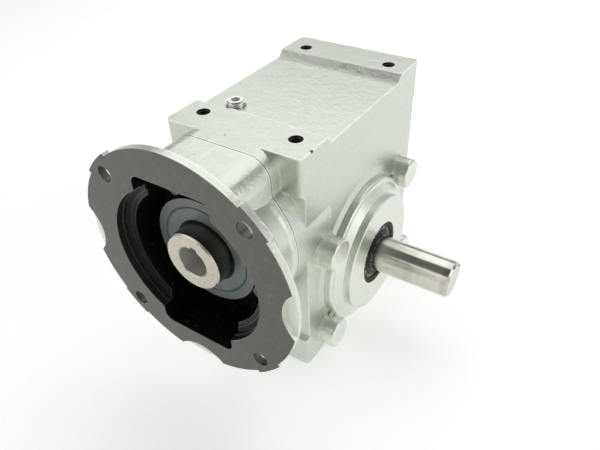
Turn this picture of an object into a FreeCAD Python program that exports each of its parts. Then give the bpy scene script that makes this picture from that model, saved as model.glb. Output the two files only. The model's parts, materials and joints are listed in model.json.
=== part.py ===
"""Right-angle worm gearbox: C-face motor adapter, hollow keyed input quill and one solid output shaft.

Millimetres, +Z up. The origin is on the mounting plane of the lower feet, under the output axis. The
output shaft points along +X and the motor is bolted on from -Y. Each piece has its own body, whose local
origin lies on the output axis or on the input axis.
"""
import FreeCAD
import Part
import Sketcher
import math
import os

from FreeCAD import Vector

SIZES = [
    # housing
    ("case_length", 166.0), ("case_width", 104.8), ("case_height", 185.0),
    ("output_height", 60.0), ("centre_distance", 60.325),
    ("foot_length", 31.0), ("foot_slope", 4.0), ("foot_recess", 5.0), ("foot_thickness", 26.0),
    ("end_recess", 3.6), ("chamber_length", 101.0), ("chamber_width", 84.0),
    ("chamber_top", 50.0), ("chamber_bottom", 46.0), ("upper_hole_radius", 4.2), ("lower_hole_radius", 4.4),
    ("mount_hole_depth", 16.0), ("mount_hole_lip", 0.4), ("mount_spacing_x", 73.0),
    ("mount_spacing_y", 127.0), ("plug_x", 30.7), ("plug_y", 36.7), ("corner_radius", 3.5),
    # covers on the two sides
    ("cover_radius", 59.5), ("cover_joint", 54.0), ("cover_pad_radius", 62.0), ("cover_pad_foot", 67.0),
    ("cover_pad_depth", 8.0), ("side_bore_radius", 50.0), ("spigot_end", 40.0), ("cover_edge", 59.0),
    ("hub_foot", 63.0), ("cover_rounding", 2.2), ("hub_rounding", 1.2),
    ("hub_face", 68.0), ("closed_face", 66.5), ("hub_radius", 47.2), ("ear_y", 58.0), ("ear_z", 40.0),
    ("ear_radius", 11.9), ("ear_face", 66.0), ("ear_rounding", 1.8), ("gasket_thickness", 0.6),
    ("cover_screw_radius", 4.0), ("cover_head_radius", 6.5), ("cap_radius", 8.4), ("cap_thickness", 1.2),
    # motor adapter
    ("flange_face", 138.0), ("flange_radius", 82.5), ("rim_thickness", 5.5), ("lug_radius", 84.5),
    ("lug_angle", 16.0), ("joint_face", 92.2), ("joint_radius", 54.0), ("joint_flat_top", 64.675),
    ("joint_half_width", 37.0), ("joint_corner", 15.0), ("register_radius", 57.15), ("bell_radius", 50.0),
    ("slot_width", 59.0), ("slot_height", 121.0), ("slot_corner", 6.0), ("notch_radius", 25.8),
    ("notch_centre", 98.3), ("notch_depth", 3.0), ("face_hole_offset", 52.76), ("face_hole_radius", 5.55),
    ("pilot_radius", 40.0), ("pilot_length", 7.6), ("seal_hub_radius", 39.0), ("seal_hub_face", 118.0),
    ("adapter_screw_offset", 31.4), ("adapter_screw_radius", 3.0), ("bell_floor", 101.0),
    # input quill and worm
    ("quill_face", 131.0), ("quill_radius", 21.2), ("quill_bore_radius", 11.1125),
    ("quill_bore_depth", 60.0), ("quill_key_width", 4.76), ("quill_key_height", 13.4),
    ("quill_key_angle", -15.0),
    ("worm_pitch_radius", 15.0), ("worm_tip", 3.0217), ("worm_root", 3.7), ("axial_pitch", 9.4931),
    ("flank_slope", 0.364), ("tooth_play", 0.12), ("worm_turns", 6.5), ("worm_half_length", 36.0),
    # worm wheel
    ("wheel_teeth", 30.0), ("wheel_pitch_radius", 45.325), ("wheel_width", 22.0), ("wheel_twist", 2.79),
    ("wheel_tip_slope", 0.53), ("wheel_root_slope", 0.27), ("rim_bore_radius", 36.0),
    ("hub_half_width", 15.0), ("hub_bore_radius", 19.0), ("wheel_key_width", 6.0),
    # output shaft
    ("output_radius", 14.2875), ("output_end", 129.0), ("output_chamfer", 1.5), ("output_key_width", 6.35),
    ("output_key_depth", 3.2), ("output_key_length", 30.0), ("output_key_angle", -48.0),
    ("seal_land", 14.45),
    # bearings and seals
    ("front_bore", 20.0), ("front_outer", 34.0), ("front_width", 15.0), ("front_start", 104.0),
    ("rear_bore", 12.5), ("rear_outer", 31.0), ("rear_width", 17.0), ("rear_start", 54.0),
    ("side_bore", 17.5), ("side_outer", 36.0), ("side_width", 17.0),
    ("input_seal_radius", 33.0), ("input_seal_depth", 10.0), ("output_seal_radius", 25.8),
    ("output_seal_depth", 8.4), ("output_seal_recess", 1.2), ("lip_play", 0.05), ("race_play", 0.15),
    ("turn_play", 0.35),
    # pipe plugs
    ("plug_radius", 7.15), ("plug_root", 6.3), ("plug_height", 2.8), ("plug_depth", 9.5),
    ("plug_socket", 6.35), ("plug_taper", 0.3), ("plug_crown", 1.0),
]
PLANE_AXIS = {"X": "H_Axis", "Y": "V_Axis"}


class Size:
    """A length that carries its value and the spreadsheet formula that gives it."""

    def __init__(self, value, formula):
        self.value = value
        self.formula = formula

    def join(self, other, sign, value):
        text = other.formula if isinstance(other, Size) else repr(float(other))
        return Size(value, "(%s %s %s)" % (self.formula, sign, text))

    def __add__(self, other):
        return self.join(other, "+", self.value + number(other))

    def __sub__(self, other):
        return self.join(other, "-", self.value - number(other))

    def __mul__(self, other):
        return self.join(other, "*", self.value * number(other))

    def __truediv__(self, other):
        return self.join(other, "/", self.value / number(other))

    def __neg__(self):
        return Size(-self.value, "(0 - %s)" % self.formula)


def number(length):
    """The plain value of a Size or of a number."""
    return length.value if isinstance(length, Size) else float(length)


class Sheet:
    """The driving dimensions, written to a spreadsheet and read back as Size values."""

    def __init__(self, doc):
        self.sheet = doc.addObject("Spreadsheet::Sheet", "Sizes")
        for row, (name, value) in enumerate(SIZES, start=1):
            self.sheet.set("A%d" % row, name)
            self.sheet.set("B%d" % row, str(value))
            self.sheet.setAlias("B%d" % row, name)
            setattr(self, name, Size(value, "Sizes." + name))


doc = FreeCAD.newDocument("WormGearbox")
s = Sheet(doc)
doc.recompute()

INPUT_HEIGHT = s.output_height + s.centre_distance
pieces = []


def bind(obj, path, length):
    """Set a property to a number, or tie it to the sheet when the length is a Size."""
    if isinstance(length, Size):
        obj.setExpression(path, length.formula)
    else:
        obj.setExpression(path, repr(float(length)))


def new_body(label, height):
    """An empty body whose local origin is at the given height on the Z axis."""
    body = doc.addObject("PartDesign::Body", label)
    body.Label = label
    body.Placement.Base.z = number(height)
    bind(body, ".Placement.Base.z", height)
    pieces.append(body)
    return body


def origin_feature(body, role):
    """One of the body's own origin planes or axes."""
    return next(item for item in body.Origin.OriginFeatures if item.Role == role)


def new_sketch(body, plane, shift=0.0, across=0.0, turn=None):
    """A sketch on an origin plane, moved along its normal and across it, or turned about its own normal."""
    sketch = body.newObject("Sketcher::SketchObject", "Sketch")
    sketch.AttachmentSupport = [(origin_feature(body, plane), "")]
    sketch.MapMode = "FlatFace"
    bind(sketch, ".AttachmentOffset.Base.z", shift)
    bind(sketch, ".AttachmentOffset.Base.y", across)
    if turn is not None:
        sketch.AttachmentOffset.Rotation = FreeCAD.Rotation(Vector(0, 0, 1), number(turn))
        bind(sketch, ".AttachmentOffset.Rotation.Angle", turn)
    return sketch


def pin_point(sketch, geometry, place, x, y):
    """Hold one point of a sketch at a place that the sheet gives."""
    for kind, length, axis in (("DistanceX", x, -2), ("DistanceY", y, -1)):
        if number(length) == 0.0:
            sketch.addConstraint(Sketcher.Constraint("PointOnObject", geometry, place, axis))
        else:
            held = Sketcher.Constraint(kind, -1, 1, geometry, place, number(length))
            index = sketch.addConstraint(held)
            bind(sketch, "Constraints[%d]" % index, length)


def outline(sketch, points):
    """A closed outline of straight lines through the given corners."""
    corners = [Vector(number(x), number(y), 0) for x, y in points]
    first = sketch.GeometryCount
    for here, there in zip(corners, corners[1:] + corners[:1]):
        sketch.addGeometry(Part.LineSegment(here, there), False)
    count = len(points)
    for index, (x, y) in enumerate(points):
        following = first + (index + 1) % count
        sketch.addConstraint(Sketcher.Constraint("Coincident", first + index, 2, following, 1))
        pin_point(sketch, first + index, 1, x, y)


def box_outline(sketch, left, right, low, high):
    """A rectangle with its sides along the sketch axes."""
    outline(sketch, [(left, low), (right, low), (right, high), (left, high)])


def circle(sketch, x, y, radius):
    """A circle about a point that the sheet gives."""
    centre = Vector(number(x), number(y), 0)
    index = sketch.addGeometry(Part.Circle(centre, Vector(0, 0, 1), number(radius)), False)
    pin_point(sketch, index, 3, x, y)
    held = sketch.addConstraint(Sketcher.Constraint("Radius", index, number(radius)))
    bind(sketch, "Constraints[%d]" % held, radius)


def corner_circles(sketch, x, y, radius):
    """Four equal circles at the corners of a rectangle about the sketch origin."""
    for x_side in (x, -x):
        for y_side in (y, -y):
            circle(sketch, x_side, y_side, radius)


def half_disc(sketch, radius):
    """Half a disc above the sketch's H axis, centred on its origin: turned about that axis it is a ball."""
    reach = number(radius)
    arc = Part.ArcOfCircle(Part.Circle(Vector(0, 0, 0), Vector(0, 0, 1), reach), 0, math.pi)
    sketch.addGeometry(arc, False)
    sketch.addGeometry(Part.LineSegment(Vector(-reach, 0, 0), Vector(reach, 0, 0)), False)
    sketch.addConstraint(Sketcher.Constraint("Coincident", 0, 3, -1, 1))
    sketch.addConstraint(Sketcher.Constraint("Coincident", 0, 2, 1, 1))
    sketch.addConstraint(Sketcher.Constraint("Coincident", 1, 2, 0, 1))
    sketch.addConstraint(Sketcher.Constraint("PointOnObject", 0, 1, -1))
    sketch.addConstraint(Sketcher.Constraint("PointOnObject", 0, 2, -1))
    held = sketch.addConstraint(Sketcher.Constraint("Radius", 0, reach))
    bind(sketch, "Constraints[%d]" % held, radius)


def settle(body, feature):
    """Recompute, and stop if the feature failed."""
    doc.recompute()
    if feature.Shape.isNull() or {"Invalid", "Error"} & set(feature.State):
        raise RuntimeError("%s of %s failed" % (feature.Name, body.Label))
    return feature


def extrude(body, sketch, length, kind="Pad", both=False, back=False):
    """Pad or pocket a sketch. A pocket runs against the sketch's normal unless it is turned back."""
    before = body.Shape.Volume if body.Tip else 0.0
    feature = body.newObject("PartDesign::" + kind, kind)
    feature.Profile = sketch
    feature.Type = "Length"
    bind(feature, "Length", length)
    feature.SideType = "Symmetric" if both else "One side"
    feature.Reversed = back
    settle(body, feature)
    change = body.Shape.Volume - before
    if (change <= 0) if kind == "Pad" else (change >= 0):
        raise RuntimeError("%s of %s changed nothing" % (feature.Name, body.Label))
    return feature


def round_topped(body, shift, base, half_width, height, radius, length, kind="Pad"):
    """Extrude a rectangle that stands (or hangs) on its base line, with its two far corners rounded."""
    shoulder = add(base, height - radius if number(height) > 0 else height + radius)
    far = add(base, height)
    inset = half_width - radius
    for left, right, end in ((-half_width, half_width, shoulder), (-inset, inset, far)):
        sketch = new_sketch(body, "XZ_Plane", shift)
        box_outline(sketch, left, right, base, end)
        extrude(body, sketch, length, kind)
    sketch = new_sketch(body, "XZ_Plane", shift)
    circle(sketch, inset, shoulder, radius)
    circle(sketch, -inset, shoulder, radius)
    extrude(body, sketch, length, kind)


def turn(body, sketch, axis, kind="Revolution", angle=360.0):
    """Turn a sketch about its own X or Y axis, to add (Revolution) or to cut (Groove)."""
    before = body.Shape.Volume if body.Tip else 0.0
    feature = body.newObject("PartDesign::" + kind, kind)
    feature.Profile = sketch
    feature.ReferenceAxis = (sketch, [PLANE_AXIS[axis]])
    bind(feature, "Angle", angle)
    feature.Midplane = number(angle) < 360.0
    settle(body, feature)
    change = body.Shape.Volume - before
    if (change <= 0) if kind == "Revolution" else (change >= 0):
        raise RuntimeError("%s of %s changed nothing" % (feature.Name, body.Label))
    return feature


def repeat(body, feature, axis, count):
    """Repeat a feature evenly round one of the body's origin axes."""
    pattern = body.newObject("PartDesign::PolarPattern", "PolarPattern")
    pattern.Originals = [feature]
    pattern.Axis = (origin_feature(body, axis + "_Axis"), [""])
    pattern.Angle = 360
    bind(pattern, "Occurrences", count)
    body.Tip = pattern
    return settle(body, pattern)


def dress(body, kind, size, chosen):
    """Fillet or chamfer those edges of the body that the test picks out."""
    dressed = body.Tip
    names = ["Edge%d" % (index + 1) for index, edge in enumerate(dressed.Shape.Edges) if chosen(edge)]
    if not names:
        raise RuntimeError("no edges to %s on %s" % (kind, body.Label))
    feature = body.newObject("PartDesign::" + kind, kind)
    feature.Base = (dressed, names)
    bind(feature, "Radius" if kind == "Fillet" else "Size", size)
    body.Tip = feature
    return settle(body, feature)


def near(left, right, reach=0.05):
    """Whether two lengths agree."""
    return abs(left - right) < reach


def runs_along(edge, axis):
    """Whether an edge is straight and parallel to X, Y or Z."""
    if not isinstance(edge.Curve, Part.Line):
        return False
    return near(abs(getattr(edge.Curve.Direction, axis)), 1.0, 1e-4)


def rim_at(edge, axis, station, radius):
    """Whether an edge is a full circle of this radius at this station on the local axis."""
    if not isinstance(edge.Curve, Part.Circle):
        return False
    return near(getattr(edge.Curve.Center, axis), station) and near(edge.Curve.Radius, radius)


def turned(label, height, axis, points):
    """A body made by turning one outline. Points are (along, radius) for X and (radius, along) for Y."""
    body = new_body(label, height)
    sketch = new_sketch(body, "XY_Plane")
    outline(sketch, points)
    turn(body, sketch, axis)
    return body


def cut_turned(body, axis, points, shift=0.0):
    """Cut a turned outline from a body."""
    sketch = new_sketch(body, "XY_Plane", shift)
    outline(sketch, points)
    turn(body, sketch, axis, "Groove")


def housing():
    """Cast case with feet above and below, a round face for the adapter and an opening on each side."""
    body = new_body("housing", s.output_height)
    end = s.case_length / 2
    wall = end - s.end_recess
    top = s.case_height - s.output_height
    base = -s.output_height
    foot = end - s.foot_length
    floor = foot - s.foot_slope
    sketch = new_sketch(body, "YZ_Plane")
    half = [
        (floor, base + s.foot_recess), (foot, base), (end, base), (end, base + s.foot_thickness),
        (wall, base + s.foot_thickness + s.end_recess), (wall, top - s.foot_thickness - s.end_recess),
        (end, top - s.foot_thickness), (end, top), (foot, top), (floor, top - s.foot_recess)]
    outline(sketch, half + [(-y, z) for y, z in reversed(half)])
    extrude(body, sketch, s.case_width, both=True)
    reach = number(end)
    dress(body, "Fillet", s.corner_radius, lambda edge: runs_along(edge, "z")
          and near(abs(edge.CenterOfMass.y), reach))

    face = s.joint_face - s.gasket_thickness
    sketch = new_sketch(body, "XZ_Plane", s.chamber_length / 2)
    circle(sketch, 0, s.centre_distance, s.joint_radius)
    extrude(body, sketch, face - s.chamber_length / 2)
    round_topped(body, s.chamber_length / 2, s.centre_distance, s.joint_half_width, s.joint_flat_top,
                 s.joint_corner, face - s.chamber_length / 2)

    side = s.case_width / 2
    inner = side - s.cover_pad_depth
    for way in (1, -1):
        joint = s.cover_joint * way
        sketch = new_sketch(body, "XY_Plane")
        outline(sketch, [(inner * way, 0), (joint, 0), (joint, s.cover_pad_radius),
                         (side * way, s.cover_pad_foot), (inner * way, s.cover_pad_foot)])
        turn(body, sketch, "X")
    sketch = new_sketch(body, "YZ_Plane")
    corner_circles(sketch, s.ear_y, s.ear_z, s.ear_radius + 0.8)
    extrude(body, sketch, s.cover_joint * 2, both=True)
    sketch = new_sketch(body, "YZ_Plane")
    box_outline(sketch, -s.case_length, s.case_length, base - 20, base)
    extrude(body, sketch, s.case_width * 2, "Pocket", both=True)

    sketch = new_sketch(body, "YZ_Plane")
    box_outline(sketch, -s.chamber_length / 2, s.chamber_length / 2, -s.chamber_bottom,
                s.centre_distance + s.chamber_top)
    extrude(body, sketch, s.chamber_width, "Pocket", both=True)
    sketch = new_sketch(body, "YZ_Plane")
    circle(sketch, 0, 0, s.side_bore_radius)
    extrude(body, sketch, s.case_width * 2, "Pocket", both=True)
    pilot_end = -s.joint_face + s.pilot_length
    ring = s.rear_start + s.rear_width
    cut_turned(body, "Y", [
        (0, -s.flange_face), (s.pilot_radius, -s.flange_face), (s.pilot_radius, pilot_end),
        (s.front_outer - 4, pilot_end), (s.front_outer - 4, 0), (s.rear_outer - 5, 0),
        (s.rear_outer - 5, s.rear_start), (s.rear_outer, s.rear_start), (s.rear_outer, ring + 0.2),
        (s.rear_outer + 1.6, ring + 0.2), (s.rear_outer + 1.6, ring + 1.9), (s.rear_outer, ring + 1.9),
        (s.rear_outer, s.case_length), (0, s.case_length)], s.centre_distance)

    for height, hole, back in ((top, s.upper_hole_radius, False), (base, s.lower_hole_radius, True)):
        sketch = new_sketch(body, "XY_Plane", height)
        corner_circles(sketch, s.mount_spacing_x / 2, s.mount_spacing_y / 2, hole)
        extrude(body, sketch, s.mount_hole_depth, "Pocket", back=back)
        sketch = new_sketch(body, "XY_Plane", height)
        circle(sketch, -s.plug_x, -s.plug_y, s.plug_root)
        extrude(body, sketch, s.mount_hole_depth * 2, "Pocket", back=back)
    for station, back in ((s.cover_joint, False), (-s.cover_joint, True)):
        sketch = new_sketch(body, "YZ_Plane", station)
        corner_circles(sketch, s.ear_y, s.ear_z, s.cover_screw_radius)
        extrude(body, sketch, s.mount_hole_depth, "Pocket", back=back)
    sketch = new_sketch(body, "XZ_Plane", face, s.centre_distance)
    corner_circles(sketch, s.adapter_screw_offset, s.adapter_screw_offset, s.adapter_screw_radius)
    extrude(body, sketch, s.mount_hole_depth, "Pocket")

    lips = ((number(top), number(s.upper_hole_radius)), (number(base), number(s.lower_hole_radius)))
    dress(body, "Chamfer", s.mount_hole_lip, lambda edge: any(rim_at(edge, "z", *lip) for lip in lips))


def motor_adapter():
    """Bell with the motor's C face in front, a register, and a hub that carries the seal and bearing."""
    body = new_body("motor_adapter", INPUT_HEIGHT)
    face = -s.flange_face
    rim = face + s.rim_thickness
    joint = -s.joint_face
    sketch = new_sketch(body, "XY_Plane")
    outline(sketch, [
        (0, joint + s.pilot_length), (s.pilot_radius, joint + s.pilot_length), (s.pilot_radius, joint),
        (s.joint_radius, joint), (s.joint_radius, joint - 3.2), (s.joint_radius - 1.2, joint - 4.4),
        (s.joint_radius + 1, joint - 16), (s.joint_radius + 10, rim + 8), (s.register_radius + 13, rim),
        (s.flange_radius, rim), (s.flange_radius, face), (0, face)])
    turn(body, sketch, "Y")
    for height in (s.joint_flat_top, -s.joint_flat_top):
        round_topped(body, s.joint_face, 0.0, s.joint_half_width, height, s.joint_corner,
                     s.flange_face - s.rim_thickness - s.joint_face)

    sketch = new_sketch(body, "XY_Plane")
    sketch.AttachmentOffset.Rotation = FreeCAD.Rotation(Vector(0, 1, 0), 45)
    outline(sketch, [(s.register_radius + 8, face), (s.lug_radius, face), (s.lug_radius, rim),
                     (s.register_radius + 8, rim)])
    lug = turn(body, sketch, "Y", angle=s.lug_angle)
    repeat(body, lug, "Y", 4)

    for height in (s.slot_height / 2, -s.slot_height / 2):
        round_topped(body, s.flange_face, 0.0, s.slot_width / 2, height, s.slot_corner,
                     s.flange_face - s.bell_floor, "Pocket")

    bell = s.bell_radius
    cut_turned(body, "Y", [
        (0, face - 5), (s.register_radius, face - 5), (s.register_radius, face + 5),
        (s.register_radius - 0.7, face + 5), (s.register_radius - 0.7, face + 8.5), (bell + 3, face + 8.5),
        (bell + 3, face + 9.5), (bell, face + 9.5), (bell, -s.bell_floor), (0, -s.bell_floor)])
    sketch = new_sketch(body, "XY_Plane")
    outline(sketch, [(0, joint), (s.seal_hub_radius, joint), (s.seal_hub_radius, -s.seal_hub_face),
                     (0, -s.seal_hub_face)])
    turn(body, sketch, "Y")
    seat = -s.seal_hub_face + s.input_seal_depth
    cut_turned(body, "Y", [
        (0, face), (s.input_seal_radius, face), (s.input_seal_radius, seat), (s.front_outer - 4, seat),
        (s.front_outer - 4, -s.front_start), (s.front_outer, -s.front_start), (s.front_outer, 0), (0, 0)])

    for x, z in ((s.notch_centre, 0), (-s.notch_centre, 0), (0, -s.notch_centre)):
        sketch = new_sketch(body, "XZ_Plane", s.flange_face)
        circle(sketch, x, z, s.notch_radius)
        extrude(body, sketch, s.notch_depth, "Pocket")
    sketch = new_sketch(body, "XZ_Plane", s.flange_face)
    corner_circles(sketch, s.face_hole_offset, s.face_hole_offset, s.face_hole_radius)
    extrude(body, sketch, s.rim_thickness * 3, "Pocket")
    sketch = new_sketch(body, "XZ_Plane", s.bell_floor)
    corner_circles(sketch, s.adapter_screw_offset, s.adapter_screw_offset, s.adapter_screw_radius + 0.3)
    extrude(body, sketch, s.bell_floor - s.joint_face, "Pocket")


def adapter_gasket():
    """Sheet gasket with the outline of the adapter's joint."""
    body = new_body("adapter_gasket", INPUT_HEIGHT)
    start = s.joint_face - s.gasket_thickness
    sketch = new_sketch(body, "XZ_Plane", start)
    circle(sketch, 0, 0, s.joint_radius)
    extrude(body, sketch, s.gasket_thickness)
    round_topped(body, start, 0.0, s.joint_half_width, s.joint_flat_top, s.joint_corner, s.gasket_thickness)
    sketch = new_sketch(body, "XZ_Plane", s.joint_face)
    circle(sketch, 0, 0, s.pilot_radius)
    corner_circles(sketch, s.adapter_screw_offset, s.adapter_screw_offset, s.adapter_screw_radius)
    extrude(body, sketch, s.gasket_thickness, "Pocket")


def screws(label, height, plane, start, offsets, head, shank, socket):
    """Four socket head screws: head and shank are (radius, length), start is where the head's seat lies."""
    body = new_body(label, height)
    across, up = offsets
    back = number(start) < 0
    sketch = new_sketch(body, plane, start)
    corner_circles(sketch, across, up, head[0])
    extrude(body, sketch, head[1], back=back)
    sketch = new_sketch(body, plane, start)
    corner_circles(sketch, across, up, shank[0])
    extrude(body, sketch, shank[1], back=not back)
    crown = start - head[1] if back else start + head[1]
    for x_side in (across, -across):
        for y_side in (up, -up):
            sketch = new_sketch(body, plane, crown)
            hexagon(sketch, x_side, y_side, socket)
            extrude(body, sketch, head[1] / 2, "Pocket", back=back)


def hexagon(sketch, x, y, across_flats):
    """A regular hexagon about a point."""
    flat = across_flats / 2
    tip = flat * (2 / math.sqrt(3))
    half = tip / 2
    corners = [(tip, 0), (half, flat), (-half, flat), (-tip, 0), (-half, -flat), (half, -flat)]
    outline(sketch, [(add(x, dx), add(y, dy)) for dx, dy in corners])


def add(left, right):
    """Sum of two lengths, either of which may be a plain number."""
    return right + left if isinstance(right, Size) else left + right


def bearing(prefix, height, axis, start, bore, outer, width):
    """Deep-groove ball bearing: two rings, a set of balls and the cage that spaces them."""
    ball = (outer - bore) * 0.3
    middle = (outer + bore) / 2
    centre = start + width / 2
    race = ball + s.race_play
    count = 9

    def place(along, radius):
        return (along, radius) if axis == "X" else (radius, along)

    def ring(label, inner_edge, outer_edge):
        body = turned(label, height, axis, [
            place(start, inner_edge), place(start + width, inner_edge),
            place(start + width, outer_edge), place(start, outer_edge)])
        sketch = new_sketch(body, "XY_Plane")
        circle(sketch, *place(centre, middle), race)
        turn(body, sketch, axis, "Groove")

    def ball_sketch(body, radius):
        sketch = new_sketch(body, "XY_Plane")
        along, across = (centre, middle) if axis == "X" else (middle, centre)
        bind(sketch, ".AttachmentOffset.Base.x", along)
        bind(sketch, ".AttachmentOffset.Base.y", across)
        half_disc(sketch, radius)
        return sketch

    gap = (outer - bore) * 0.2
    ring(prefix + "_outer_ring", middle + gap, outer)
    ring(prefix + "_inner_ring", bore, middle - gap)
    body = new_body(prefix + "_balls", height)
    one = turn(body, ball_sketch(body, ball), "X")
    repeat(body, one, axis, count)
    half_cage = gap * 0.6
    body = turned(prefix + "_cage", height, axis, [
        place(start + 1.2, middle - half_cage), place(centre + ball * 0.5, middle - half_cage),
        place(centre + ball * 0.5, middle + half_cage), place(start + 1.2, middle + half_cage)])
    one = turn(body, ball_sketch(body, ball + s.race_play), "X", "Groove")
    repeat(body, one, axis, count)


def input_seal():
    """Oil seal in the adapter's hub: a steel case with a rubber edge, and the rubber lip on the quill."""
    face = -s.seal_hub_face
    back = face + s.input_seal_depth
    edge = s.input_seal_radius
    inner = s.quill_radius + 1.9
    turned("input_seal_case", INPUT_HEIGHT, "Y", [
        (inner, face + 0.6), (edge - 1.6, face + 0.6), (edge - 1.0, face), (edge, face), (edge, back),
        (edge - 1.5, back), (edge - 1.5, face + 2.2), (inner, face + 2.2)])
    tip = s.quill_radius + s.lip_play
    turned("input_seal_lip", INPUT_HEIGHT, "Y", [
        (tip, face + 1.6), (inner, face + 0.9), (inner, face + 2.2), (inner + 3, face + 2.2),
        (inner + 3, back - 2), (tip, back - 3), (tip + 0.5, back - 4.4), (inner, face + 3.6),
        (tip + 0.3, face + 3)])


def worm_shaft():
    """Hollow keyed quill in front and a one-start right-hand worm behind, in one piece."""
    root = s.worm_pitch_radius - s.worm_root
    tip = s.worm_pitch_radius + s.worm_tip
    seat_end = -s.front_start + s.front_width + 2
    shoulder = s.rear_bore + 3
    rear_end = s.rear_start + s.rear_width + 0.2
    body = turned("worm_shaft", INPUT_HEIGHT, "Y", [
        (0, -s.quill_face), (s.quill_radius, -s.quill_face), (s.quill_radius, -s.front_start),
        (s.front_bore, -s.front_start), (s.front_bore, seat_end), (tip - 0.2, seat_end),
        (tip - 0.2, -s.worm_half_length - 5), (root, -s.worm_half_length), (root, s.worm_half_length),
        (shoulder, s.worm_half_length + 5), (shoulder, s.rear_start), (s.rear_bore, s.rear_start),
        (s.rear_bore, rear_end), (0, rear_end)])
    face = number(-s.quill_face)
    edge = number(s.quill_radius)
    dress(body, "Chamfer", 1.0, lambda item: rim_at(item, "y", face, edge))
    sketch = new_sketch(body, "XZ_Plane", s.quill_face)
    circle(sketch, 0, 0, s.quill_bore_radius)
    extrude(body, sketch, s.quill_bore_depth, "Pocket")
    sketch = new_sketch(body, "XZ_Plane", s.quill_face, turn=s.quill_key_angle)
    box_outline(sketch, -s.quill_key_width / 2, s.quill_key_width / 2, 0, s.quill_key_height)
    extrude(body, sketch, s.quill_bore_depth, "Pocket")
    bore = number(s.quill_bore_radius)
    dress(body, "Chamfer", 0.7, lambda item: rim_at(item, "y", face, bore))

    half = s.axial_pitch / 4 - s.tooth_play
    foot = half + s.worm_root * s.flank_slope
    crest = half - s.worm_tip * s.flank_slope
    start = -s.axial_pitch * (s.worm_turns / 2)
    sketch = new_sketch(body, "XY_Plane")
    outline(sketch, [(root - 0.3, start - foot), (tip, start - crest), (tip, start + crest),
                     (root - 0.3, start + foot)])
    thread = body.newObject("PartDesign::AdditiveHelix", "Thread")
    thread.Profile = sketch
    thread.ReferenceAxis = (sketch, ["V_Axis"])
    thread.Mode = "pitch-turns-angle"
    bind(thread, "Pitch", s.axial_pitch)
    bind(thread, "Turns", s.worm_turns)
    body.Tip = thread
    settle(body, thread)


def worm_wheel():
    """Bronze rim with straight-line helical gaps that mesh with the worm at the top."""
    half = s.wheel_width / 2
    pitch = s.wheel_pitch_radius
    tip = pitch + s.worm_tip
    root = pitch - s.worm_root
    body = turned("worm_wheel", s.output_height, "X", [
        (-half, s.rim_bore_radius), (half, s.rim_bore_radius), (half, tip - 1), (half - 1, tip),
        (-half + 1, tip), (-half, tip - 1)])
    middle = s.axial_pitch / 4 + s.tooth_play
    over = s.worm_tip + 1
    ends = []
    for side in (-1, 1):
        sketch = new_sketch(body, "YZ_Plane", half * side * 1.1, turn=s.wheel_twist * side * 0.55)
        outer = middle + over * s.wheel_tip_slope
        inner = middle - s.worm_root * s.wheel_root_slope
        outline(sketch, [(-outer, pitch + over), (-middle, pitch), (-inner, root), (inner, root),
                         (middle, pitch), (outer, pitch + over)])
        ends.append(sketch)
    gap = body.newObject("PartDesign::SubtractiveLoft", "Gap")
    gap.Profile = ends[0]
    gap.Sections = [ends[1]]
    gap.Ruled = True
    body.Tip = gap
    settle(body, gap)
    repeat(body, gap, "X", s.wheel_teeth)


def wheel_hub():
    """Iron hub inside the bronze rim, keyed to the output shaft."""
    half = s.hub_half_width
    rim = s.wheel_width / 2
    body = turned("wheel_hub", s.output_height, "X", [
        (-half, s.hub_bore_radius), (half, s.hub_bore_radius), (half, s.rim_bore_radius - 9),
        (rim, s.rim_bore_radius - 7), (rim, s.rim_bore_radius), (-rim, s.rim_bore_radius),
        (-rim, s.rim_bore_radius - 7), (-half, s.rim_bore_radius - 9)])
    sketch = new_sketch(body, "YZ_Plane")
    edge = s.wheel_key_width / 2
    box_outline(sketch, -edge, edge, 0, s.hub_bore_radius + edge)
    extrude(body, sketch, half * 2, "Pocket", both=True)


def wheel_key():
    """Square key between hub and output shaft."""
    body = new_body("wheel_key", s.output_height)
    sketch = new_sketch(body, "YZ_Plane")
    edge = s.wheel_key_width / 2
    box_outline(sketch, -edge, edge, s.hub_bore_radius - edge, s.hub_bore_radius + edge)
    extrude(body, sketch, s.hub_half_width * 2, both=True)


def output_shaft():
    """Solid shaft with a seat for each bearing, a shoulder for the wheel and a keyway at the free end."""
    seat = s.spigot_end + s.side_width + 1
    body = turned("output_shaft", s.output_height, "X", [
        (-seat, 0), (-seat, s.side_bore), (-s.spigot_end, s.side_bore), (-s.spigot_end, s.hub_bore_radius),
        (s.spigot_end, s.hub_bore_radius), (s.spigot_end, s.side_bore), (seat, s.side_bore),
        (seat, s.seal_land), (s.hub_face, s.seal_land), (s.hub_face, s.output_radius),
        (s.output_end, s.output_radius), (s.output_end, 0)])
    free_end = number(s.output_end)
    radius = number(s.output_radius)
    dress(body, "Chamfer", s.output_chamfer, lambda edge: rim_at(edge, "x", free_end, radius))
    sketch = new_sketch(body, "YZ_Plane")
    edge = s.wheel_key_width / 2
    box_outline(sketch, -edge, edge, s.hub_bore_radius - edge, s.hub_bore_radius + edge)
    extrude(body, sketch, s.hub_half_width * 2, "Pocket", both=True)
    sketch = new_sketch(body, "YZ_Plane", s.output_end, turn=s.output_key_angle)
    edge = s.output_key_width / 2
    box_outline(sketch, -edge, edge, s.output_radius - s.output_key_depth, s.output_radius * 2)
    extrude(body, sketch, s.output_key_length, "Pocket")


def spacer(label, side):
    """Sleeve between the wheel hub and one output bearing."""
    near_end = s.hub_half_width * side
    far_end = s.spigot_end * side
    turned(label, s.output_height, "X", [
        (near_end, s.hub_bore_radius), (far_end, s.hub_bore_radius), (far_end, s.hub_bore_radius + 4),
        (near_end, s.hub_bore_radius + 4)])


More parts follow.
